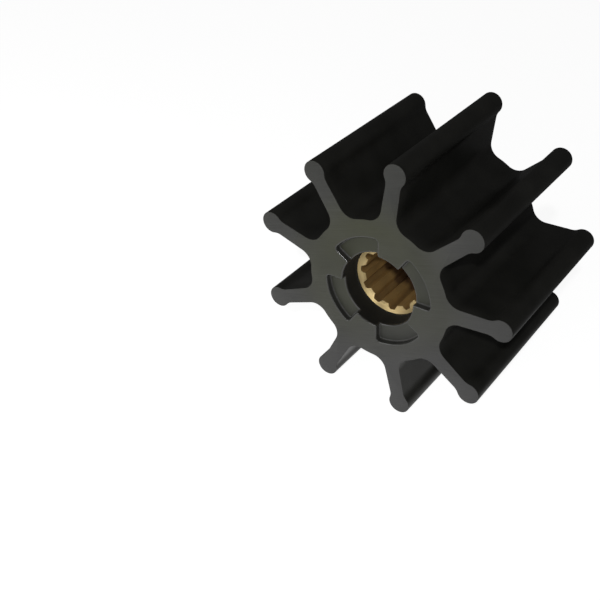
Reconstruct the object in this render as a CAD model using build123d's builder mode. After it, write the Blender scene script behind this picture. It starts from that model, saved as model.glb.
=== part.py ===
"""Flexible pump impeller: nine straight rubber vanes moulded round a splined brass insert.

The shaft axis is Y. The front face looks along -Y and the rear face along +Y. The origin is on the
axis, halfway between the two faces. One vane points straight up, so the impeller rests on the tips
of its two lowest vanes.
"""
from build123d import *
from math import acos, cos, pi, radians, sin, tan
import os

# ---------------------------------------------------------------- driving dimensions, mm and degrees
# Rubber body
TIP_DIAMETER = 95.25          # over the vane tips
WIDTH = 63.5                  # from face to face, ground flat across hub and vanes alike
VANES = 9
FIRST_VANE = 90.0             # angle of the top vane, from +X towards +Z
HUB_RADIUS = 26.0             # floor of the valley between two vanes
VANE_ROOT_WIDTH = 5.9         # vane thickness at the hub
VANE_NECK_WIDTH = 5.1         # vane thickness under the tip bulb
BULB_RADIUS = 3.85            # the round bulb that wipes the pump's wall
ROOT_FILLET = 5.2             # hub into vane
NECK_FILLET = 4.7             # vane into bulb

# Round counterbore in each end, where the shaft's end cap sits
COUNTERBORE_RADIUS = 13.4
COUNTERBORE_DEPTH = 8.5
BEAD = 0.5                    # rubber bead round its foot, which laps over the end of the insert

# Arc pockets round the counterbore, in both faces
POCKETS = 4
FIRST_POCKET = 35.0           # angle of one pocket's middle
POCKET_ARC = 55.0             # angle that a pocket spans
POCKET_RADIUS = 19.6          # its outer wall
POCKET_CORNER = 1.2
POCKET_DEPTH = 2.0

# Brass insert
INSERT_RADIUS = 16.0
KEY_GROOVES = 8               # grooves along the outside, which the rubber fills
KEY_GROOVE_RADIUS = 1.6

# Internal involute spline of the insert
SPLINE_TEETH = 11
SPLINE_MODULE = 1.9
PRESSURE_ANGLE = 30.0
SPLINE_TIP_RADIUS = 10.1      # the teeth point inwards
SPLINE_ROOT_RADIUS = 11.5
FIRST_SPACE = 20.45           # angle of one tooth space
LEAD_IN = 0.6                 # chamfer on the tooth tips at both ends

# ---------------------------------------------------------------- worked out from them
BULB_CENTRE = TIP_DIAMETER / 2 - BULB_RADIUS
VANE_START = HUB_RADIUS / 2
VANE_TAPER = (VANE_ROOT_WIDTH - VANE_NECK_WIDTH) / (BULB_CENTRE - HUB_RADIUS)
VANE_START_WIDTH = VANE_ROOT_WIDTH + VANE_TAPER * (HUB_RADIUS - VANE_START)
LAND_ARC = 360 / POCKETS - POCKET_ARC
FIRST_LAND = FIRST_POCKET + 180 / POCKETS
INSERT_LENGTH = WIDTH - 2 * COUNTERBORE_DEPTH
BASE_RADIUS = SPLINE_MODULE * SPLINE_TEETH / 2 * cos(radians(PRESSURE_ANGLE))

# Plane.XZ looks along -Y, so the front face is a positive offset from it and the rear a negative one
FRONT, REAR = 1, -1


def from_axis(vertex):
    """Distance of a vertex from the shaft axis, to a tenth of a millimetre."""
    return round(vertex.center().length, 1)


def wedge(half_angle, length):
    """Corners of a thin triangle from the axis outwards, centred on the local X axis."""
    half_width = length * tan(radians(half_angle))
    return (0, 0), (length, -half_width), (length, half_width)


def involute(angle):
    """The involute function of an angle in radians."""
    return tan(angle) - angle


def flank(side):
    """Three points of the involute flank of a tooth space that is centred on the local X axis."""
    half_space = pi / (2 * SPLINE_TEETH) + involute(radians(PRESSURE_ANGLE))
    mid_radius = (SPLINE_TIP_RADIUS + SPLINE_ROOT_RADIUS) / 2
    points = []
    for radius in (SPLINE_TIP_RADIUS, mid_radius, SPLINE_ROOT_RADIUS):
        half_angle = half_space - involute(acos(BASE_RADIUS / radius))
        points.append((radius * cos(half_angle), side * radius * sin(half_angle)))
    return points


def tooth_space():
    """Section of the space between two spline teeth, open towards the axis."""
    with BuildSketch() as space:
        with BuildLine():
            lower = ThreePointArc(*flank(-1))
            upper = ThreePointArc(*flank(1))
            ThreePointArc(lower @ 1, (SPLINE_ROOT_RADIUS, 0), upper @ 1)
            Polyline(lower @ 0, (SPLINE_TIP_RADIUS / 2, 0), upper @ 0)
        make_face()
    return space.sketch


def insert_outline():
    """Section of the outside of the insert: a round bar with keying grooves."""
    with BuildSketch(Plane.XZ) as outline:
        Circle(INSERT_RADIUS)
        with PolarLocations(INSERT_RADIUS, KEY_GROOVES):
            Circle(KEY_GROOVE_RADIUS, mode=Mode.SUBTRACT)
    return outline.sketch


os.makedirs("parts", exist_ok=True)

# ---------------------------------------------------------------- rubber body
with BuildPart() as impeller_body:
    # hub, straight vanes and tip bulbs, blended into each other
    with BuildSketch(Plane.XZ) as star:
        # the hub's circle starts under a vane, so that its seam is not left on the outline
        with PolarLocations(0, 1, start_angle=FIRST_VANE):
            Circle(HUB_RADIUS)
        with PolarLocations(0, VANES, start_angle=FIRST_VANE):
            Polygon(
                (VANE_START, -VANE_START_WIDTH / 2),
                (BULB_CENTRE, -VANE_NECK_WIDTH / 2),
                (BULB_CENTRE, VANE_NECK_WIDTH / 2),
                (VANE_START, VANE_START_WIDTH / 2),
                align=None,
            )
        with PolarLocations(BULB_CENTRE, VANES, start_angle=FIRST_VANE):
            Circle(BULB_RADIUS)
        fillet(star.vertices().group_by(from_axis)[0], radius=ROOT_FILLET)
        fillet(star.vertices().group_by(from_axis)[-1], radius=NECK_FILLET)
    extrude(amount=WIDTH / 2, both=True)

    # arc pockets: a disc less the lands that stand between them
    for end in (FRONT, REAR):
        with BuildSketch(Plane.XZ.offset(end * WIDTH / 2)) as pockets:
            Circle(POCKET_RADIUS)
            with PolarLocations(0, POCKETS, start_angle=FIRST_LAND):
                Polygon(*wedge(LAND_ARC / 2, 2 * POCKET_RADIUS), align=None, mode=Mode.SUBTRACT)
            fillet(pockets.vertices().group_by(from_axis)[-1], radius=POCKET_CORNER)
        extrude(amount=-end * POCKET_DEPTH, mode=Mode.SUBTRACT)

    # counterbores, each closing in by the bead at its foot, and the space for the insert between them
    for end in (FRONT, REAR):
        with BuildSketch(Plane.XZ.offset(end * WIDTH / 2)):
            Circle(COUNTERBORE_RADIUS)
        extrude(amount=-end * (COUNTERBORE_DEPTH - BEAD), mode=Mode.SUBTRACT)
        with BuildSketch(Plane.XZ.offset(end * (INSERT_LENGTH / 2 + BEAD))):
            Circle(COUNTERBORE_RADIUS)
        extrude(amount=-end * BEAD, taper=45, mode=Mode.SUBTRACT)
    extrude(insert_outline(), amount=INSERT_LENGTH / 2, both=True, mode=Mode.SUBTRACT)

impeller_body.part.label = "impeller_body"
export_step(impeller_body.part, "parts/impeller_body.step")

# ---------------------------------------------------------------- splined brass insert
with BuildPart() as splined_insert:
    extrude(insert_outline(), amount=INSERT_LENGTH / 2, both=True)
    with BuildSketch(Plane.XZ):
        Circle(SPLINE_TIP_RADIUS)
    extrude(amount=INSERT_LENGTH / 2, both=True, mode=Mode.SUBTRACT)
    bore_edges = [face.inner_wires()[0].edge() for face in splined_insert.faces().filter_by(Axis.Y)]
    chamfer(bore_edges, length=LEAD_IN)
    with BuildSketch(Plane.XZ):
        with PolarLocations(0, SPLINE_TEETH, start_angle=FIRST_SPACE):
            add(tooth_space())
    extrude(amount=INSERT_LENGTH / 2, both=True, mode=Mode.SUBTRACT)

splined_insert.part.label = "splined_insert"
export_step(splined_insert.part, "parts/splined_insert.step")
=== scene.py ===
"""Flexible pump impeller: a moulded rubber body with the splined brass insert bonded in its hub.

The shaft axis is Y and the front face looks along -Y. Each outline is drawn as half of one pitch in
the XZ plane, mirrored, repeated round the shaft, swept along it to the middle of the impeller, and
mirrored again to make the rear.
"""
from math import asin, atan2, acos, ceil, cos, pi, radians, sin, sqrt, tan

import bmesh
import bpy
from bpy.props import FloatProperty, FloatVectorProperty, IntProperty, PointerProperty
from mathutils import Matrix, Quaternion, Vector


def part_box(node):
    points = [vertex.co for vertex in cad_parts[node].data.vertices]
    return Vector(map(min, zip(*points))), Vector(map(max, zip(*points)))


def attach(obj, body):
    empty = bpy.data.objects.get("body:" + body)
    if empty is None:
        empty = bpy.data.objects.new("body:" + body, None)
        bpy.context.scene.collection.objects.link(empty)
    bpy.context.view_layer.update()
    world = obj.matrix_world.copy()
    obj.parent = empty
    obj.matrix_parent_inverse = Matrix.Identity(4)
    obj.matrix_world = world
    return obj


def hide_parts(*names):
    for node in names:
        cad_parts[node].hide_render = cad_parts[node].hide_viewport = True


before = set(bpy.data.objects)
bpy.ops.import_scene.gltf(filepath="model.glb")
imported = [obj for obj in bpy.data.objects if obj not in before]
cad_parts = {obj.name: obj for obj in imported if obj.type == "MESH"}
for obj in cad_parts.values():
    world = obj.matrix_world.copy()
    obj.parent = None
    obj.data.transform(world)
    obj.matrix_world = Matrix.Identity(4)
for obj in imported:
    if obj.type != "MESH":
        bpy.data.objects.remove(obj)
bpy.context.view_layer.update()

bl_info = {
    "name": "Flexible Pump Impeller",
    "version": (1, 0, 0),
    "blender": (4, 5, 0),
    "location": "3D View > Sidebar > Impeller",
    "description": "Builds a rubber pump impeller with a splined brass insert",
    "category": "Object",
}

MM = 0.001
BODY_LOW, BODY_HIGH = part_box("impeller_body")
INSERT_LOW, INSERT_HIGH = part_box("splined_insert")

SHAFT = Vector((0, 0, 0))             # the middle of the shaft axis
TURN = Vector((0, -1, 0))             # turning about it carries +X towards +Z
RING_STEP = radians(2.5)              # every circle round the shaft has a vertex at this step
ARC_STEP = radians(5)                 # the fillets and the bulbs of an outline
COARSE_STEP = radians(10)             # its smallest arcs: pocket corners and key grooves
STEP_SLACK = 1e-4                     # share of a step that an arc may be over without one more step
MERGE = 1e-6                          # vertices nearer than this are one
SHARP = radians(40)                   # an edge that turns more than this is rounded
ROUND_STEPS = 3                       # faces across a rounding
FACING = 0.6                          # a face that looks along the shaft by this much is an end face
BESIDE = -1                           # a rounding that shows the material of the faces beside it
VANE_STEPS = 6                        # stretches of a vane along half the impeller
FLANK_STEPS = 4                       # stretches of a spline tooth's flank
FIRST_VANE = pi / 2                   # the top vane
FIRST_POCKET = radians(35)            # the middle of a pocket
FIRST_SPACE = radians(20.45)          # the middle of a space between two teeth
GRIND_ANGLE = radians(24)             # the way the grinding marks run across the end faces
RUB_FADE = 0.2 * MM                   # how softly a rubbed rim gives way to the wall beside it
BLACK = (0, 0, 0)
FLOOR_RADIUS = 4
FLOOR_SIDES = 96
EFFECTS = {}                          # the shared shader groups built so far

# softboxes in front of the object: name, place, side and power
LIGHTS = (
    ("key light", Vector((0.26, -0.80, 0.745)), 0.036, 2.5),
    ("front light", Vector((0.16, -0.55, 0.14)), 0.36, 0.90),
    ("side light", Vector((-0.16, -0.30, 0.04)), 0.16, 0.35),
)


# ------------------------------------------------------------------------------------ settings
class BodySizes(bpy.types.PropertyGroup):
    """Sizes of the rubber body."""

    tip_radius: FloatProperty(
        name="Tip Radius", description="Shaft axis to the vane tips",
        default=BODY_HIGH.z, unit="LENGTH", subtype="DISTANCE")
    width: FloatProperty(
        name="Width", description="Front face to rear face",
        default=BODY_HIGH.y - BODY_LOW.y, unit="LENGTH", subtype="DISTANCE")
    vanes: IntProperty(
        name="Vanes", description="Number of vanes round the hub", default=9, min=3)
    hub_radius: FloatProperty(
        name="Hub Radius", description="Shaft axis to the floor of a valley between vanes",
        default=26.0 * MM, unit="LENGTH", subtype="DISTANCE")
    root_width: FloatProperty(
        name="Vane Root", description="Thickness of a vane at the hub",
        default=5.9 * MM, unit="LENGTH", subtype="DISTANCE")
    neck_width: FloatProperty(
        name="Vane Neck", description="Thickness of a vane under its tip bulb",
        default=5.1 * MM, unit="LENGTH", subtype="DISTANCE")
    bulb_radius: FloatProperty(
        name="Tip Bulb", description="Radius of the round tip that wipes the pump's wall",
        default=3.85 * MM, unit="LENGTH", subtype="DISTANCE")
    root_fillet: FloatProperty(
        name="Root Fillet", description="Radius between the hub and a vane",
        default=5.2 * MM, unit="LENGTH", subtype="DISTANCE")
    neck_fillet: FloatProperty(
        name="Neck Fillet", description="Radius between a vane and its bulb",
        default=4.7 * MM, unit="LENGTH", subtype="DISTANCE")
    seam_radius: FloatProperty(
        name="Face Seam", description="Circle where the vane faces and the hub face meet, flush",
        default=22.0 * MM, unit="LENGTH", subtype="DISTANCE")
    bore_radius: FloatProperty(
        name="Counterbore", description="Radius of the round recess in each face",
        default=13.4 * MM, unit="LENGTH", subtype="DISTANCE")
    pockets: IntProperty(
        name="Pockets", description="Arc pockets in each face", default=4, min=2)
    pocket_arc: FloatProperty(
        name="Pocket Arc", description="Angle that a pocket spans",
        default=radians(55), unit="ROTATION", subtype="ANGLE")
    bead: FloatProperty(
        name="Bead", description="Rubber bead at the counterbore's foot, over the end of the insert",
        default=0.5 * MM, unit="LENGTH", subtype="DISTANCE")
    pocket_radius: FloatProperty(
        name="Pocket Radius", description="Shaft axis to the outer wall of a pocket",
        default=19.6 * MM, unit="LENGTH", subtype="DISTANCE")
    pocket_corner: FloatProperty(
        name="Pocket Corner", description="Radius in the corners of a pocket",
        default=1.2 * MM, unit="LENGTH", subtype="DISTANCE")
    pocket_depth: FloatProperty(
        name="Pocket Depth", description="Depth of a pocket",
        default=2.0 * MM, unit="LENGTH", subtype="DISTANCE")
    rim: FloatProperty(
        name="Rim", description="How far the edges of the recess and its pockets are rounded",
        default=0.5 * MM, unit="LENGTH", subtype="DISTANCE")
    edge: FloatProperty(
        name="Edge", description="How far the moulded edges are rounded",
        default=0.3 * MM, unit="LENGTH", subtype="DISTANCE")
    ground_edge: FloatProperty(
        name="Ground Edge", description="Share of that rounding left where a face was ground flat",
        default=0.45, subtype="FACTOR", min=0, max=1)


class InsertSizes(bpy.types.PropertyGroup):
    """Sizes of the brass insert."""

    length: FloatProperty(
        name="Length", description="End to end",
        default=INSERT_HIGH.y - INSERT_LOW.y, unit="LENGTH", subtype="DISTANCE")
    radius: FloatProperty(
        name="Radius", description="Radius of the bar that the insert is turned from",
        default=16.0 * MM, unit="LENGTH", subtype="DISTANCE")
    grooves: IntProperty(
        name="Key Grooves", description="Grooves outside that the rubber fills", default=8, min=3)
    groove_radius: FloatProperty(
        name="Groove Radius", description="Radius of a key groove",
        default=1.6 * MM, unit="LENGTH", subtype="DISTANCE")
    teeth: IntProperty(name="Teeth", description="Teeth of the spline", default=11, min=4)
    module: FloatProperty(
        name="Module", description="Pitch diameter divided by the number of teeth",
        default=1.9 * MM, unit="LENGTH", subtype="DISTANCE")
    pressure_angle: FloatProperty(
        name="Pressure Angle", description="Slope of a tooth's flank at the pitch circle",
        default=radians(30), unit="ROTATION", subtype="ANGLE")
    tip_radius: FloatProperty(
        name="Tooth Tips", description="Shaft axis to the tips of the teeth",
        default=10.1 * MM, unit="LENGTH", subtype="DISTANCE")
    root_radius: FloatProperty(
        name="Tooth Roots", description="Shaft axis to the roots of the teeth",
        default=11.5 * MM, unit="LENGTH", subtype="DISTANCE")
    lead_in: FloatProperty(
        name="Lead-in", description="Chamfer on the tooth tips at both ends",
        default=0.6 * MM, unit="LENGTH", subtype="DISTANCE")
    edge: FloatProperty(
        name="Edge", description="How far the machined edges are broken",
        default=0.09 * MM, unit="LENGTH", subtype="DISTANCE")


class Finishes(bpy.types.PropertyGroup):
    """Colours of the rubber and the brass."""

    moulded: FloatVectorProperty(
        name="Moulded Rubber", description="Colour of the satin skin of the vanes",
        default=(0.0155, 0.0155, 0.0135), subtype="COLOR", min=0, max=1)
    ground: FloatVectorProperty(
        name="Ground Rubber", description="Colour of the faces that were ground flat",
        default=(0.0375, 0.038, 0.0348), subtype="COLOR", min=0, max=1)
    worn: FloatVectorProperty(
        name="Worn Rubber", description="Colour of the pockets' walls and of the recess's rims",
        default=(0.044, 0.044, 0.040), subtype="COLOR", min=0, max=1)
    dull: FloatVectorProperty(
        name="Pocket Floors", description="Colour of the dull rubber on the pocket floors",
        default=(0.037, 0.0374, 0.0348), subtype="COLOR", min=0, max=1)
    dust: FloatVectorProperty(
        name="Dust", description="Colour of the fine dust that clings to the rubber",
        default=(0.16, 0.155, 0.14), subtype="COLOR", min=0, max=1)
    brass: FloatVectorProperty(
        name="Brass", description="Colour of freshly cut brass",
        default=(0.90, 0.72, 0.38), subtype="COLOR", min=0, max=1)
    bore: FloatVectorProperty(
        name="Bore", description="Colour of the brass on the flanks of the spline",
        default=(0.52, 0.335, 0.12), subtype="COLOR", min=0, max=1)
    # also the colour of the painted shade deep in the bore, besides the brown stain in patches and
    # tooth roots
    tarnish_and_shade: FloatVectorProperty(
        name="Tarnish", description="Colour of the brass deep in the bore",
        default=(0.14, 0.08, 0.035), subtype="COLOR", min=0, max=1)


class Studio(bpy.types.PropertyGroup):
    """The floor, the lights and the camera."""

    floor: FloatVectorProperty(
        name="Floor", description="Colour of the floor",
        default=(0.42, 0.42, 0.42), subtype="COLOR", min=0, max=1)
    floor_glow: FloatProperty(
        name="Floor Glow", description="Light of the floor itself to the eye", default=0.90, min=0)
    floor_bounce: FloatProperty(
        name="Floor Bounce", description="Light of the floor itself on the object",
        default=0.95, min=0)
    pool: FloatProperty(
        name="Pool of Light", description="Radius of the lit patch of floor in front of the object",
        default=0.20, unit="LENGTH", subtype="DISTANCE")
    pool_centre: FloatVectorProperty(
        name="Pool Centre", description="Middle of the lit patch of floor",
        default=(-0.03, -0.10, BODY_LOW.z), unit="LENGTH", subtype="XYZ")
    backdrop: FloatProperty(
        name="Backdrop", description="Brightness of the backdrop to the eye", default=0.86, min=0)
    surround: FloatProperty(
        name="Surround", description="Brightness of the unlit room round the object",
        default=0.06, min=0)
    azimuth: FloatProperty(
        name="Azimuth", description="Camera's turn round the object, from the front",
        default=radians(32.79), unit="ROTATION", subtype="ANGLE")
    elevation: FloatProperty(
        name="Elevation", description="Camera's height over the horizon",
        default=radians(38.97), unit="ROTATION", subtype="ANGLE")
    roll: FloatProperty(
        name="Roll", description="Camera's tilt about its own line of sight",
        default=radians(5.11), unit="ROTATION", subtype="ANGLE")
    distance: FloatProperty(
        name="Distance", description="Camera to the point it is aimed at",
        default=0.3273, unit="LENGTH", subtype="DISTANCE")
    aim: FloatVectorProperty(
        name="Aim", description="Point that the camera is aimed at, in the plane of the front face",
        default=(-0.0291, BODY_LOW.y, -0.0188), unit="LENGTH", subtype="XYZ")
    lens: FloatProperty(
        name="Lens", description="Focal length in millimetres", default=56.2, min=1)


# ------------------------------------------------------------------------------------ drawing
def at(radius, angle, y):
    """A point at a distance from the shaft, at an angle from +X towards +Z."""
    return Vector((radius * cos(angle), y, radius * sin(angle)))


def turn_between(start, end):
    """The angle from one direction to another, seen along the shaft."""
    return atan2(start.x * end.z - start.z * end.x, start.x * end.x + start.z * end.z)


def steps_for(angle, step):
    """How many equal steps, none longer than the given one, make up an angle."""
    return max(1, ceil(abs(angle) / step - STEP_SLACK))


def arc(bm, vertex, centre, angle, step=ARC_STEP):
    """Draws an arc on from a vertex and returns its last vertex."""
    drawn = bmesh.ops.spin(
        bm, geom=[vertex], cent=centre, axis=TURN, angle=angle, steps=steps_for(angle, step))
    return next(part for part in drawn["geom_last"] if isinstance(part, bmesh.types.BMVert))


def line(bm, vertex, point):
    """Draws a straight edge on from a vertex to a point and returns its last vertex."""
    last = bmesh.ops.extrude_vert_indiv(bm, verts=[vertex])["verts"][0]
    bmesh.ops.translate(bm, verts=[last], vec=point - last.co)
    return last


def sweep(bm, edges, depth, steps=1):
    """Sweeps edges along the shaft into walls and returns the far edges."""
    drawn = bmesh.ops.spin(
        bm, geom=edges, cent=SHAFT, axis=TURN, dvec=Vector((0, depth / steps, 0)), steps=steps)
    return [part for part in drawn["geom_last"] if isinstance(part, bmesh.types.BMEdge)]


def mirror(bm, axis):
    """Adds the mirror image of everything drawn."""
    geometry = bm.verts[:] + bm.edges[:] + bm.faces[:]
    bmesh.ops.mirror(bm, geom=geometry, matrix=Matrix.Identity(4), merge_dist=MERGE, axis=axis)
    bmesh.ops.remove_doubles(bm, verts=bm.verts, dist=MERGE)


def repeat(bm, count, first):
    """Turns everything drawn to its first place and repeats it round the shaft."""
    bmesh.ops.rotate(bm, verts=bm.verts, cent=SHAFT, matrix=Matrix.Rotation(first, 3, TURN))
    geometry = bm.verts[:] + bm.edges[:] + bm.faces[:]
    bmesh.ops.spin(
        bm, geom=geometry, cent=SHAFT, axis=TURN, angle=2 * pi * (count - 1) / count,
        steps=count - 1, use_duplicate=True)
    bmesh.ops.remove_doubles(bm, verts=bm.verts, dist=MERGE)


def radius_of(vertex):
    """Distance of a vertex from the shaft."""
    return sqrt(vertex.co.x ** 2 + vertex.co.z ** 2)


def open_edges(bm, inner, outer, y=None):
    """The edges of a single face between two radii, at one place along the shaft if y is given."""
    return [
        edge for edge in bm.edges
        if len(edge.link_faces) == 1
        and all(inner < radius_of(vertex) < outer for vertex in edge.verts)
        and (y is None or all(abs(vertex.co.y - y) < MERGE for vertex in edge.verts))
    ]


def gather(parts):
    """Joins drawn parts into one mesh, welded where they meet, and frees them."""
    whole = bmesh.new()
    for part in parts:
        mesh = bpy.data.meshes.new("part")
        part.to_mesh(mesh)
        part.free()
        whole.from_mesh(mesh)
        bpy.data.meshes.remove(mesh)
    bmesh.ops.remove_doubles(whole, verts=whole.verts, dist=MERGE)
    return whole


# ------------------------------------------------------------------------------------ sections
def vane_faces(sizes, y):
    """The vane sectors of an end face, from the seam circle out to the blended outline."""
    half_pitch = pi / sizes.vanes
    bulb = Vector((sizes.tip_radius - sizes.bulb_radius, y, 0))
    taper = atan2((sizes.root_width - sizes.neck_width) / 2, bulb.x - sizes.hub_radius)
    along = Vector((cos(taper), 0, -sin(taper)))
    out = Vector((sin(taper), 0, cos(taper)))
    side = Vector((sizes.hub_radius, 0, sizes.root_width / 2)).dot(out)

    # each fillet's centre is one fillet radius off the vane's side, and touches the hub or the bulb
    reach, lift = sizes.hub_radius + sizes.root_fillet, side + sizes.root_fillet
    root = along * sqrt(reach ** 2 - lift ** 2) + out * lift + Vector((0, y, 0))
    reach, lift = sizes.bulb_radius + sizes.neck_fillet, side + sizes.neck_fillet - bulb.dot(out)
    neck = bulb - along * sqrt(reach ** 2 - lift ** 2) + out * lift

    bm = bmesh.new()
    valley = bm.verts.new(at(sizes.hub_radius, half_pitch, y))
    vertex = arc(bm, valley, SHAFT, atan2(root.z, root.x) - half_pitch, RING_STEP)
    vertex = arc(bm, vertex, root, turn_between(-root, -out))
    vertex = line(bm, vertex, neck - out * sizes.neck_fillet)
    vertex = arc(bm, vertex, neck, turn_between(-out, bulb - neck))
    arc(bm, vertex, bulb, turn_between(neck - bulb, Vector((1, 0, 0))))
    vertex = line(bm, valley, at(sizes.seam_radius, half_pitch, y))
    arc(bm, vertex, SHAFT, -half_pitch, RING_STEP)
    mirror(bm, "Z")
    bmesh.ops.edgeloop_fill(bm, edges=bm.edges)
    repeat(bm, sizes.vanes, FIRST_VANE)
    return bm


def pocket_wall(bm, sizes, y):
    """Draws half a pocket's wall, from the middle of its outer arc to the counterbore."""
    end, corner = sizes.pocket_arc / 2, sizes.pocket_corner
    middle = end - asin(corner / (sizes.pocket_radius - corner))
    start = bm.verts.new(at(sizes.pocket_radius, 0, y))
    vertex = arc(bm, start, SHAFT, middle, RING_STEP)
    centre = at(sizes.pocket_radius - corner, middle, y)
    vertex = arc(bm, vertex, centre, pi / 2 + end - middle, COARSE_STEP)
    return line(bm, vertex, at(sizes.bore_radius, end, y))


def hub_faces(sizes, y):
    """The hub's part of an end face: the seam circle, the pockets' rims and the lands between."""
    half_pitch = pi / sizes.pockets
    bm = bmesh.new()
    vertex = pocket_wall(bm, sizes, y)
    vertex = arc(bm, vertex, SHAFT, half_pitch - sizes.pocket_arc / 2, RING_STEP)
    vertex = line(bm, vertex, at(sizes.seam_radius, half_pitch, y))
    arc(bm, vertex, SHAFT, -half_pitch, RING_STEP)
    mirror(bm, "Z")
    bmesh.ops.edgeloop_fill(bm, edges=bm.edges)
    repeat(bm, sizes.pockets, FIRST_POCKET)
    lands = open_edges(bm, 0, sizes.bore_radius + MERGE)
    sweep(bm, lands, sizes.pocket_depth)
    return bm


def pocket_floors(sizes, y):
    """The floors of the pockets with the walls that rise from them to the end face."""
    bm = bmesh.new()
    vertex = pocket_wall(bm, sizes, y + sizes.pocket_depth)
    arc(bm, vertex, SHAFT, -sizes.pocket_arc / 2, RING_STEP)
    mirror(bm, "Z")
    bmesh.ops.edgeloop_fill(bm, edges=bm.edges)
    walls = [
        edge for edge in bm.edges
        if any(radius_of(vertex) > sizes.bore_radius + MERGE for vertex in edge.verts)
    ]
    sweep(bm, walls, -sizes.pocket_depth)
    repeat(bm, sizes.pockets, FIRST_POCKET)
    return bm


def grooved_ring(insert, y, inner, step):
    """A flat ring from an inner circle out to the grooved outside of the insert."""
    half_pitch = pi / insert.grooves
    opening = 2 * asin(insert.groove_radius / 2 / insert.radius)
    groove = at(insert.radius, 0, y)
    bm = bmesh.new()
    start = bm.verts.new(at(inner, 0, y))
    vertex = arc(bm, start, SHAFT, half_pitch, step)
    vertex = line(bm, vertex, at(insert.radius, half_pitch, y))
    vertex = arc(bm, vertex, SHAFT, opening - half_pitch, RING_STEP)
    bite = turn_between(vertex.co - groove, Vector((-1, 0, 0)))
    arc(bm, vertex, groove, bite, COARSE_STEP)
    mirror(bm, "Z")
    bmesh.ops.edgeloop_fill(bm, edges=bm.edges)
    repeat(bm, insert.grooves, 0)
    return bm


def involute(angle):
    """The involute function."""
    return tan(angle) - angle


def spline_ring(insert, y, outer, step):
    """The end face round the spline, out to an outer circle, with the lead-in chamfer."""
    half_pitch = pi / insert.teeth
    base_radius = insert.module * insert.teeth / 2 * cos(insert.pressure_angle)
    half_space = half_pitch / 2 + involute(insert.pressure_angle)

    def flank(radius):
        return half_space - involute(acos(base_radius / radius))

    mouth = insert.tip_radius + insert.lead_in
    bm = bmesh.new()
    start = bm.verts.new(at(insert.root_radius, 0, y + insert.lead_in))
    vertex = arc(bm, start, SHAFT, flank(insert.root_radius), RING_STEP)
    rise = mouth - insert.root_radius
    radii = [insert.root_radius + rise * share / FLANK_STEPS for share in range(1, FLANK_STEPS + 1)]
    for radius in (*radii, insert.tip_radius):
        vertex = line(bm, vertex, at(radius, flank(radius), y + insert.lead_in))
    arc(bm, vertex, SHAFT, half_pitch - flank(insert.tip_radius), RING_STEP)

    # the lead-in: towards the end face, the tips open out and widen to the chamfer's mouth
    sweep(bm, bm.edges[:], -insert.lead_in)
    widen = (half_pitch - flank(mouth)) / (half_pitch - flank(insert.tip_radius))
    tips = [
        vertex for vertex in bm.verts
        if vertex.co.y < y + MERGE and radius_of(vertex) < mouth - MERGE
    ]
    for vertex in tips:
        from_middle = half_pitch - atan2(vertex.co.z, vertex.co.x)
        opened = at(mouth, half_pitch - from_middle * widen, y)
        bmesh.ops.translate(bm, verts=[vertex], vec=opened - vertex.co)
    middle = max(tips, key=lambda vertex: vertex.co.z)
    vertex = line(bm, middle, at(outer, half_pitch, y))
    arc(bm, vertex, SHAFT, -half_pitch, step)
    mirror(bm, "Z")
    end_face = [
        edge for edge in bm.edges
        if all(vertex.co.y < y + MERGE for vertex in edge.verts)
    ]
    bmesh.ops.edgeloop_fill(bm, edges=end_face)
    repeat(bm, insert.teeth, round(FIRST_SPACE / step) * step)
    return bm


# ------------------------------------------------------------------------------------ pieces
def finish_piece(bm, name, materials, paint, cad_node, roundings):
    """Makes the mesh a piece that stands for its CAD node, with its sharp edges rounded.

    A rounding is its name, its width, a function that weighs each sharp edge from 0 to 1, and the
    number of the material that it lays bare, or BESIDE for that of the faces beside it.
    """
    bmesh.ops.recalc_face_normals(bm, faces=bm.faces)
    for label, _, weigh, _ in roundings:
        weights = bm.edges.layers.float.new(label)
        for edge in bm.edges:
            if len(edge.link_faces) == 2 and edge.calc_face_angle() > SHARP:
                edge[weights] = weigh(edge)
    for face in bm.faces:
        face.smooth = True
        face.material_index = paint(face)
    mesh = bpy.data.meshes.new(name)
    bm.to_mesh(mesh)
    bm.free()
    for material in materials:
        mesh.materials.append(material)
    piece = bpy.data.objects.new(name, mesh)
    bpy.context.scene.collection.objects.link(piece)
    for label, width, _, bared in roundings:
        bevel = piece.modifiers.new(label, "BEVEL")
        bevel.limit_method = "WEIGHT"
        bevel.edge_weight = label
        bevel.width = width
        bevel.segments = ROUND_STEPS
        bevel.profile = 0.5
        bevel.material = bared
        bevel.use_clamp_overlap = False
        bevel.harden_normals = True
    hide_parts(cad_node)
    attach(piece, "root")
    return piece


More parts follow.
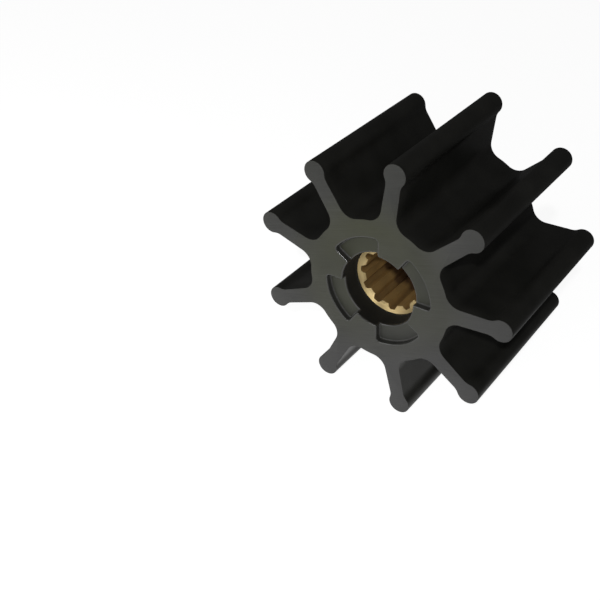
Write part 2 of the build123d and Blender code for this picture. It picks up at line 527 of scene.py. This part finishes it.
class IMPELLER_OT_rubber_body(bpy.types.Operator):
    """Build the rubber body: hub, vanes, pockets and counterbores"""

    bl_idname = "impeller.rubber_body"
    bl_label = "Rubber Body"

    def execute(self, context):
        body, insert = context.scene.impeller_body, context.scene.impeller_insert
        face_y = -body.width / 2
        floor = face_y + body.pocket_depth
        ledge = -insert.length / 2
        foot = body.bore_radius - body.bead
        vanes = vane_faces(body, face_y)
        outline = open_edges(vanes, body.seam_radius + MM, body.tip_radius + MM)
        sweep(vanes, outline, -face_y, VANE_STEPS)
        bond = grooved_ring(insert, ledge, foot, RING_STEP)
        sweep(bond, open_edges(bond, body.bore_radius, insert.radius + MM), -ledge)
        bm = gather([vanes, hub_faces(body, face_y), pocket_floors(body, face_y), bond])
        bore = open_edges(bm, body.bore_radius - MERGE, body.bore_radius + MERGE, floor)
        bore = sweep(bm, bore, ledge - body.bead - floor)
        bead = {vertex for edge in sweep(bm, bore, body.bead) for vertex in edge.verts}
        narrowed = foot / body.bore_radius
        bmesh.ops.scale(bm, verts=list(bead), vec=(narrowed, 1, narrowed))
        bmesh.ops.remove_doubles(bm, verts=bm.verts, dist=MERGE)
        mirror(bm, "Y")

        def in_recess(edge):
            """Whether an edge is a rim or the foot of a pocket's walls."""
            return all(
                radius_of(vertex) < body.pocket_radius + MERGE and abs(vertex.co.y) > -floor - MERGE
                for vertex in edge.verts
            )

        def outlines(edge):
            """The outline of the end faces, where grinding took some rounding off, and the bead."""
            at_face = all(abs(abs(vertex.co.y) + face_y) < MERGE for vertex in edge.verts)
            hidden = all(
                abs(vertex.co.y) < -ledge + MERGE and radius_of(vertex) > foot - MERGE
                for vertex in edge.verts
            )
            if hidden or in_recess(edge):
                return 0
            return body.ground_edge if at_face else 1

        skin, ground, pocket_floor, pocket_wall = range(4)

        def paint(face):
            """The number of a face's material, in the order of the materials below."""
            depth = -face_y - min(abs(vertex.co.y) for vertex in face.verts)
            if depth > body.pocket_depth + MERGE:
                return skin
            if abs(face.normal.y) > FACING:
                return ground if depth < MERGE else pocket_floor
            furthest = max(radius_of(vertex) for vertex in face.verts)
            return pocket_wall if body.bore_radius + MERGE < furthest < body.seam_radius else skin

        look = context.scene.impeller_finishes
        materials = [
            moulded_rubber(look),
            end_rubber("ground rubber", look.ground, look, 1),
            end_rubber("pocket rubber", look.dull, look, 0.15),
            worn_rubber(look, body),
        ]
        roundings = [
            ("rims", body.rim, in_recess, pocket_wall),
            ("outlines", body.edge, outlines, BESIDE),
        ]
        finish_piece(
            bm, "rubber_body", materials, paint, "impeller_body", roundings)
        return {"FINISHED"}


class IMPELLER_OT_splined_insert(bpy.types.Operator):
    """Build the brass insert: spline, end faces and key grooves"""

    bl_idname = "impeller.splined_insert"
    bl_label = "Splined Insert"

    def execute(self, context):
        body, insert = context.scene.impeller_body, context.scene.impeller_insert
        end = -insert.length / 2
        step = pi / insert.teeth / insert.grooves      # fits half a tooth pitch and half a groove pitch
        spline = spline_ring(insert, end, body.bore_radius, step)
        outside = grooved_ring(insert, end, body.bore_radius, step)
        sweep(outside, open_edges(outside, body.bore_radius + MM / 2, insert.radius + MM), -end)
        bm = gather([spline, outside])
        bore = open_edges(bm, 0, body.bore_radius, end + insert.lead_in)
        sweep(bm, bore, -end - insert.lead_in)
        mirror(bm, "Y")

        def in_bore(edge):
            """Whether an edge is one of the spline and not of the key grooves."""
            return all(radius_of(vertex) < body.bore_radius for vertex in edge.verts)

        faced, broached = range(2)

        def paint(face):
            """The number of a face's material: faced at the ends, broached in the bore."""
            return faced if abs(face.normal.y) > FACING else broached

        look = context.scene.impeller_finishes
        materials = [faced_brass(look), broached_brass(look)]
        roundings = [("spline", insert.edge, in_bore, BESIDE)]
        finish_piece(
            bm, "brass_insert", materials, paint, "splined_insert", roundings)
        return {"FINISHED"}


# ------------------------------------------------------------------------------------ finishes
def node(tree, kind, inputs, **settings):
    """Adds a shader node. Each input is a plain value, or the socket that feeds it."""
    made = tree.nodes.new("ShaderNode" + kind)
    for name, value in settings.items():
        setattr(made, name, value)
    for name, value in inputs.items():
        if isinstance(value, bpy.types.NodeSocket):
            tree.links.new(value, made.inputs[name])
        else:
            made.inputs[name].default_value = value
    return made


def maths(tree, operation, *values):
    """A Math node's result."""
    return node(tree, "Math", dict(enumerate(values)), operation=operation).outputs[0]


def ramp(tree, value, low, high, start=0.0, end=1.0):
    """Maps a value's range from low to high onto start to end, and holds it there outside."""
    made = node(tree, "MapRange", {
        "Value": value, "From Min": low, "From Max": high, "To Min": start, "To Max": end,
    })
    return made.outputs["Result"]


def tinted(colour, *factors):
    """A colour with its red, green and blue each scaled by a factor."""
    return [channel * factor for channel, factor in zip(colour, factors)]


def blend(tree, factor, first, second):
    """Mixes two colours. A colour is a socket or three numbers."""
    first, second = (
        colour if isinstance(colour, bpy.types.NodeSocket) else (*colour, 1)
        for colour in (first, second)
    )
    made = node(tree, "Mix", {"Factor": factor, "A": first, "B": second}, data_type="RGBA")
    return made.outputs["Result"]


def new_group(name, inputs, outputs):
    """A shader group that holds only its sockets. Returns its tree, inputs and output node."""
    tree = bpy.data.node_groups.new(name, "ShaderNodeTree")
    for label, kind in inputs.items():
        tree.interface.new_socket(label, in_out="INPUT", socket_type="NodeSocket" + kind)
    for label in outputs:
        tree.interface.new_socket(label, in_out="OUTPUT", socket_type="NodeSocketFloat")
    sockets = tree.nodes.new("NodeGroupInput").outputs
    return tree, sockets, tree.nodes.new("NodeGroupOutput")


def shaft_group():
    """Where a point is round the shaft: its radius, its distance round and its way along, in metres."""
    tree, given, out = new_group("shaft place", {"Place": "Vector"}, ("Radius", "Round", "Along"))
    split = node(tree, "SeparateXYZ", {0: given["Place"]}).outputs
    square_x = maths(tree, "POWER", split["X"], 2)
    square_z = maths(tree, "POWER", split["Z"], 2)
    radius = maths(tree, "SQRT", maths(tree, "ADD", square_x, square_z))
    angle = maths(tree, "ARCTAN2", split["Z"], split["X"])
    tree.links.new(radius, out.inputs["Radius"])
    tree.links.new(maths(tree, "MULTIPLY", angle, radius), out.inputs["Round"])
    tree.links.new(maths(tree, "ABSOLUTE", split["Y"]), out.inputs["Along"])
    return tree


def grain_group():
    """A fine even grain of a given size."""
    tree, given, out = new_group("fine grain", {"Place": "Vector", "Size": "Float"}, ("Height",))
    scale = maths(tree, "DIVIDE", 1, given["Size"])
    grain = node(tree, "TexNoise", {"Vector": given["Place"], "Scale": scale, "Detail": 3})
    tree.links.new(grain.outputs[0], out.inputs["Height"])
    return tree


def patch_group():
    """Soft uneven patches of a given size, from 0 to 1."""
    tree, given, out = new_group(
        "soft patches", {"Place": "Vector", "Size": "Float", "Turn": "Float"}, ("Mask",))
    scale = maths(tree, "DIVIDE", 1, given["Size"])
    noise = node(
        tree, "TexNoise",
        {"Vector": given["Place"], "W": given["Turn"], "Scale": scale, "Detail": 2},
        noise_dimensions="4D")
    tree.links.new(ramp(tree, noise.outputs[0], 0.32, 0.68), out.inputs["Mask"])
    return tree


def marks_group():
    """Long fine tool marks: close together across the cut, and drawn out along it."""
    tree, given, out = new_group(
        "tool marks", {"Across": "Float", "Along": "Float", "Spacing": "Float", "Length": "Float"},
        ("Height",))
    across = maths(tree, "DIVIDE", given["Across"], given["Spacing"])
    along = maths(tree, "DIVIDE", given["Along"], given["Length"])
    place = node(tree, "CombineXYZ", {"X": across, "Y": along}).outputs[0]
    noise = node(
        tree, "TexNoise", {"Vector": place, "Scale": 1, "Detail": 3, "Roughness": 0.6},
        noise_dimensions="2D")
    tree.links.new(noise.outputs[0], out.inputs["Height"])
    return tree


def dust_group():
    """Fine specks of dust that gather in loose drifts."""
    tree, given, out = new_group("dust", {"Place": "Vector", "Amount": "Float"}, ("Mask",))
    specks = node(
        tree, "TexVoronoi", {"Vector": given["Place"], "Scale": 1 / (0.9 * MM), "Randomness": 1})
    size = node(tree, "SeparateColor", {0: specks.outputs["Color"]}).outputs[0]
    reach = ramp(tree, size, 0.55, 1, 0.0, 0.16)
    speck = maths(tree, "LESS_THAN", specks.outputs["Distance"], reach)
    drift = node(tree, "TexNoise", {"Vector": given["Place"], "Scale": 1 / (14 * MM), "Detail": 4})
    drifted = ramp(tree, drift.outputs[0], 0.45, 0.7)
    mask = maths(tree, "MULTIPLY", maths(tree, "ADD", speck, drifted), given["Amount"])
    tree.links.new(maths(tree, "MINIMUM", mask, 1), out.inputs["Mask"])
    return tree


def effect(tree, build, inputs):
    """Places a shared group, which is built the first time it is used, and returns its outputs."""
    name = build.__name__
    if name not in EFFECTS:
        EFFECTS[name] = build()
    return node(tree, "Group", inputs, node_tree=EFFECTS[name]).outputs


def new_material(name):
    """A node material. Returns it with its tree, its shader and its object coordinates."""
    material = bpy.data.materials.new(name)
    material.use_nodes = True
    tree = material.node_tree
    place = tree.nodes.new("ShaderNodeTexCoord").outputs["Object"]
    return material, tree, tree.nodes["Principled BSDF"], place


def bumped(tree, height, distance, normal=None):
    """The surface normal after a bump of that height in metres."""
    inputs = {"Height": height, "Distance": distance, "Strength": 1}
    if normal is not None:
        inputs["Normal"] = normal
    return node(tree, "Bump", inputs).outputs[0]


def finish_with(tree, shader, colour, roughness, normal):
    """Feeds a material's colour, roughness and normal to its shader."""
    tree.links.new(colour, shader.inputs["Base Color"])
    tree.links.new(roughness, shader.inputs["Roughness"])
    tree.links.new(normal, shader.inputs["Normal"])


def moulded_rubber(look):
    """Black rubber as it leaves the mould: satin on the vanes, dull in the counterbore, where painted
    shade also darkens it.
    """
    material, tree, shader, place = new_material("moulded rubber")
    shaft = effect(tree, shaft_group, {"Place": place})
    patches = effect(tree, patch_group, {"Place": place, "Size": 11 * MM, "Turn": 1})["Mask"]
    grain = effect(tree, grain_group, {"Place": place, "Size": 0.22 * MM})["Height"]
    waves = effect(tree, grain_group, {"Place": place, "Size": 9 * MM})["Height"]
    dust = effect(tree, dust_group, {"Place": place, "Amount": 0.035})["Mask"]
    # the counterbore: rougher there, and its colour darkened by painted shade
    counterbore_dullness_and_shade = ramp(tree, shaft["Radius"], 14.5 * MM, 13.5 * MM)
    colour = blend(tree, patches, look.moulded, tinted(look.moulded, 1.5, 1.5, 1.5))
    colour = blend(tree, dust, colour, look.dust)
    colour = blend(tree, maths(tree, "MULTIPLY", counterbore_dullness_and_shade, 0.35), colour, BLACK)
    satin = ramp(tree, patches, 0, 1, 0.40, 0.52)
    roughness = maths(tree, "MAXIMUM", satin, maths(tree, "MULTIPLY", counterbore_dullness_and_shade, 0.8))
    normal = bumped(tree, waves, 0.10 * MM)
    normal = bumped(tree, grain, 0.010 * MM, normal)
    finish_with(tree, shader, colour, roughness, normal)
    shader.inputs["Specular IOR Level"].default_value = 0.25
    return material


def worn_rubber(look, body):
    """The walls of the pockets, and the rims of the recess, which are rubbed bright."""
    material, tree, shader, place = new_material("worn rubber")
    shaft = effect(tree, shaft_group, {"Place": place})
    patches = effect(tree, patch_group, {"Place": place, "Size": 5 * MM, "Turn": 4})["Mask"]
    grain = effect(tree, grain_group, {"Place": place, "Size": 0.16 * MM})["Height"]
    depth = maths(tree, "SUBTRACT", BODY_HIGH.y, shaft["Along"])
    at_face = ramp(tree, depth, body.rim, body.rim + RUB_FADE, 1, 0)
    edge = body.bore_radius + body.rim
    at_bore = ramp(tree, shaft["Radius"], edge, edge + RUB_FADE, 1, 0)
    rubbed = maths(tree, "MAXIMUM", at_face, at_bore)
    colour = blend(tree, maths(tree, "MULTIPLY", patches, 0.3), look.worn, BLACK)
    roughness = ramp(tree, rubbed, 0, 1, 0.55, 0.14)
    finish_with(tree, shader, colour, roughness, bumped(tree, grain, 0.004 * MM))
    shader.inputs["Specular IOR Level"].default_value = 0.4
    return material


def end_rubber(name, colour, look, marks):
    """Dry grey rubber of the end faces, with a share of the marks that grinding leaves, and painted
    shade.
    """
    material, tree, shader, place = new_material(name)
    split = node(tree, "SeparateXYZ", {0: place}).outputs
    shaft = effect(tree, shaft_group, {"Place": place})
    patches = effect(tree, patch_group, {"Place": place, "Size": 16 * MM, "Turn": 3})["Mask"]
    cast = effect(tree, patch_group, {"Place": place, "Size": 30 * MM, "Turn": 7})["Mask"]
    grain = effect(tree, grain_group, {"Place": place, "Size": 0.16 * MM})["Height"]
    dust = effect(tree, dust_group, {"Place": place, "Amount": 0.03})["Mask"]
    lean = node(tree, "Mapping", {"Vector": place, "Rotation": (0, GRIND_ANGLE, 0)}).outputs[0]
    ground = node(tree, "SeparateXYZ", {0: lean}).outputs
    scratches = effect(tree, marks_group, {
        "Across": ground["Z"], "Along": ground["X"], "Spacing": 0.12 * MM, "Length": 14 * MM,
    })["Height"]
    streaks = maths(tree, "MULTIPLY", ramp(tree, scratches, 0.3, 0.7), marks)

    # painted light and shade: the colour drifts from cool and light at the lower right to warm and dark
    # at the upper left
    shaded_warm = tinted(colour, 0.58, 0.60, 0.53)
    lit_cool = tinted(colour, 1.16, 1.14, 1.26)
    rise = maths(tree, "SUBTRACT", split["Z"], maths(tree, "MULTIPLY", split["X"], 0.6))
    high = ramp(tree, rise, -50 * MM, 55 * MM, 0, 0.8)
    drift = maths(tree, "ADD", high, maths(tree, "MULTIPLY", cast, 0.2))
    tint = blend(tree, drift, lit_cool, shaded_warm)

    # painted shade: the hub turns olive and darker where the painted shade is strong, and what isn't
    # ground darkens outwards, towards the pockets' outer walls
    olive = tinted(colour, 0.78, 0.84, 0.35)
    hub = ramp(tree, shaft["Radius"], 24 * MM, 36 * MM, 1, 0)
    olive_shade = maths(tree, "MULTIPLY", hub, ramp(tree, drift, 0.2, 0.7, 0, 0.9))
    tint = blend(tree, olive_shade, tint, olive)
    shade = blend(tree, maths(tree, "MULTIPLY", patches, 0.22), tint, BLACK)
    # painted shade on the pocket floors, darker towards their outer walls
    outwards = ramp(tree, shaft["Radius"], 15 * MM, 19.5 * MM, 0, 0.25 - 0.25 * marks)
    shade = blend(tree, outwards, shade, BLACK)
    shade = blend(tree, maths(tree, "MULTIPLY", streaks, 0.07), shade, look.dust)
    shade = blend(tree, dust, shade, look.dust)
    roughness = ramp(tree, streaks, 0, 1, 0.66, 0.56)
    normal = bumped(tree, scratches, 0.012 * MM * marks)
    normal = bumped(tree, grain, 0.008 * MM, normal)
    finish_with(tree, shader, shade, roughness, normal)
    shader.inputs["Specular IOR Level"].default_value = 0.35
    return material


def faced_brass(look):
    """The end face of the insert, faced on a lathe: concentric marks, and highlights across them."""
    material, tree, shader, place = new_material("faced brass")
    shaft = effect(tree, shaft_group, {"Place": place})
    rings = effect(tree, marks_group, {
        "Across": shaft["Radius"], "Along": shaft["Round"], "Spacing": 0.10 * MM, "Length": 30 * MM,
    })["Height"]
    patches = effect(tree, patch_group, {"Place": place, "Size": 4 * MM, "Turn": 2})["Mask"]
    dust = effect(tree, dust_group, {"Place": place, "Amount": 0.06})["Mask"]
    colour = blend(tree, maths(tree, "MULTIPLY", patches, 0.18), look.brass, look.bore)
    colour = blend(tree, dust, colour, look.dust)
    roughness = ramp(tree, rings, 0.3, 0.7, 0.54, 0.62)
    normal = bumped(tree, rings, 0.006 * MM)
    finish_with(tree, shader, colour, roughness, normal)
    split = node(tree, "SeparateXYZ", {0: place}).outputs
    outwards = node(tree, "CombineXYZ", {"X": split["X"], "Z": split["Z"]}).outputs[0]
    tree.links.new(outwards, shader.inputs["Tangent"])
    shader.inputs["Metallic"].default_value = 1
    shader.inputs["Anisotropic"].default_value = 0.95
    return material


def broached_brass(look):
    """The bore of the insert: marks drawn along the spline, brown stain in patches and in the tooth
    roots, and painted shade that deepens inwards.
    """
    material, tree, shader, place = new_material("broached brass")
    shaft = effect(tree, shaft_group, {"Place": place})
    drawn = effect(tree, marks_group, {
        "Across": shaft["Round"], "Along": shaft["Along"], "Spacing": 0.14 * MM, "Length": 40 * MM,
    })["Height"]
    patches = effect(tree, patch_group, {"Place": place, "Size": 5 * MM, "Turn": 5})["Mask"]
    depth = maths(tree, "SUBTRACT", INSERT_HIGH.y, shaft["Along"])
    # painted shade: from 12.5 mm to 15.5 mm in from the end the bore darkens, where the rim's shadow
    # falls
    deep = ramp(tree, depth, 12.5 * MM, 15.5 * MM, 0.15, 1)
    valley = ramp(tree, shaft["Radius"], 10.6 * MM, 11.4 * MM, 0, 0.25)
    stain_and_shade = maths(tree, "ADD", deep, maths(tree, "MULTIPLY", patches, 0.25))
    stain_and_shade = maths(tree, "MINIMUM", maths(tree, "ADD", stain_and_shade, valley), 1)
    colour = blend(tree, stain_and_shade, look.bore, look.tarnish_and_shade)
    roughness = ramp(tree, drawn, 0.3, 0.7, 0.42, 0.60)
    normal = bumped(tree, drawn, 0.010 * MM)
    finish_with(tree, shader, colour, roughness, normal)
    shader.inputs["Metallic"].default_value = 0.4
    return material


# ------------------------------------------------------------------------------------ stage
def softbox(name, place, size, power):
    """A square area light that looks from its place at the middle of the shaft."""
    light = bpy.data.lights.new(name, "AREA")
    light.size = size
    light.energy = power
    lamp = bpy.data.objects.new(name, light)
    lamp.location = place
    lamp.rotation_mode = "QUATERNION"
    lamp.rotation_quaternion = (SHAFT - place).to_track_quat("-Z", "Y")
    lamp.visible_camera = False
    bpy.context.scene.collection.objects.link(lamp)


def pale_floor(studio):
    """A pale floor lit from within, as a light table is. Its light on the object is a round pool."""
    material, tree, shader, place = new_material("floor")
    seen = tree.nodes.new("ShaderNodeLightPath").outputs["Is Camera Ray"]
    distance = node(
        tree, "VectorMath", {0: place, 1: studio.pool_centre}, operation="DISTANCE").outputs["Value"]
    bounce = ramp(tree, distance, studio.pool / 3, studio.pool, studio.floor_bounce, 0)
    glow = node(tree, "Mix", {"Factor": seen, "A": bounce, "B": studio.floor_glow}).outputs["Result"]
    tree.links.new(glow, shader.inputs["Emission Strength"])
    shader.inputs["Emission Color"].default_value = (1, 1, 1, 1)
    shader.inputs["Base Color"].default_value = (*studio.floor, 1)
    shader.inputs["Roughness"].default_value = 0.8
    shader.inputs["Specular IOR Level"].default_value = 0.1
    return material


def pale_world(scene, studio):
    """A dim room, which the camera sees as a pale backdrop."""
    world = bpy.data.worlds.new("studio")
    scene.world = world
    world.use_nodes = True
    tree = world.node_tree
    seen = tree.nodes.new("ShaderNodeLightPath").outputs["Is Camera Ray"]
    background = tree.nodes["Background"]
    glow = ramp(tree, seen, 0, 1, studio.surround, studio.backdrop)
    tree.links.new(glow, background.inputs["Strength"])
    background.inputs["Color"].default_value = (1, 1, 1, 1)


class IMPELLER_OT_stage(bpy.types.Operator):
    """Build the floor, the lights and the camera"""

    bl_idname = "impeller.stage"
    bl_label = "Stage"

    def execute(self, context):
        scene, studio = context.scene, context.scene.impeller_studio
        bm = bmesh.new()
        bmesh.ops.create_circle(bm, cap_ends=True, radius=FLOOR_RADIUS, segments=FLOOR_SIDES)
        bmesh.ops.translate(bm, verts=bm.verts, vec=(0, 0, BODY_LOW.z))
        mesh = bpy.data.meshes.new("floor")
        bm.to_mesh(mesh)
        bm.free()
        floor = bpy.data.objects.new("floor", mesh)
        scene.collection.objects.link(floor)
        mesh.materials.append(pale_floor(studio))

        for name, place, size, power in LIGHTS:
            softbox(name, place, size, power)
        pale_world(scene, studio)
        scene.view_settings.view_transform = "Standard"

        data = bpy.data.cameras.new("camera")
        data.lens = studio.lens
        camera = bpy.data.objects.new("camera", data)
        scene.collection.objects.link(camera)
        back = Vector((
            sin(studio.azimuth) * cos(studio.elevation),
            -cos(studio.azimuth) * cos(studio.elevation),
            sin(studio.elevation),
        ))
        camera.location = Vector(studio.aim) + back * studio.distance
        camera.rotation_mode = "QUATERNION"
        level = (-back).to_track_quat("-Z", "Y")
        camera.rotation_quaternion = level @ Quaternion((0, 0, 1), studio.roll)
        scene.camera = camera
        return {"FINISHED"}


class IMPELLER_PT_panel(bpy.types.Panel):
    """Lists the steps that build the impeller"""

    bl_idname = "IMPELLER_PT_panel"
    bl_label = "Pump Impeller"
    bl_space_type = "VIEW_3D"
    bl_region_type = "UI"
    bl_category = "Impeller"

    def draw(self, context):
        for operator in OPERATORS:
            self.layout.operator(operator.bl_idname)


OPERATORS = (IMPELLER_OT_rubber_body, IMPELLER_OT_splined_insert, IMPELLER_OT_stage)
SETTINGS = {
    "impeller_body": BodySizes,
    "impeller_insert": InsertSizes,
    "impeller_finishes": Finishes,
    "impeller_studio": Studio,
}


def register():
    for group in SETTINGS.values():
        bpy.utils.register_class(group)
    for cls in (*OPERATORS, IMPELLER_PT_panel):
        bpy.utils.register_class(cls)
    for name, group in SETTINGS.items():
        setattr(bpy.types.Scene, name, PointerProperty(type=group))


def unregister():
    for name in SETTINGS:
        delattr(bpy.types.Scene, name)
    for cls in (IMPELLER_PT_panel, *reversed(OPERATORS), *SETTINGS.values()):
        bpy.utils.unregister_class(cls)


def main():
    register()
    bpy.ops.impeller.rubber_body()
    bpy.ops.impeller.splined_insert()
    bpy.ops.impeller.stage()


if __name__ == "__main__":
    main()
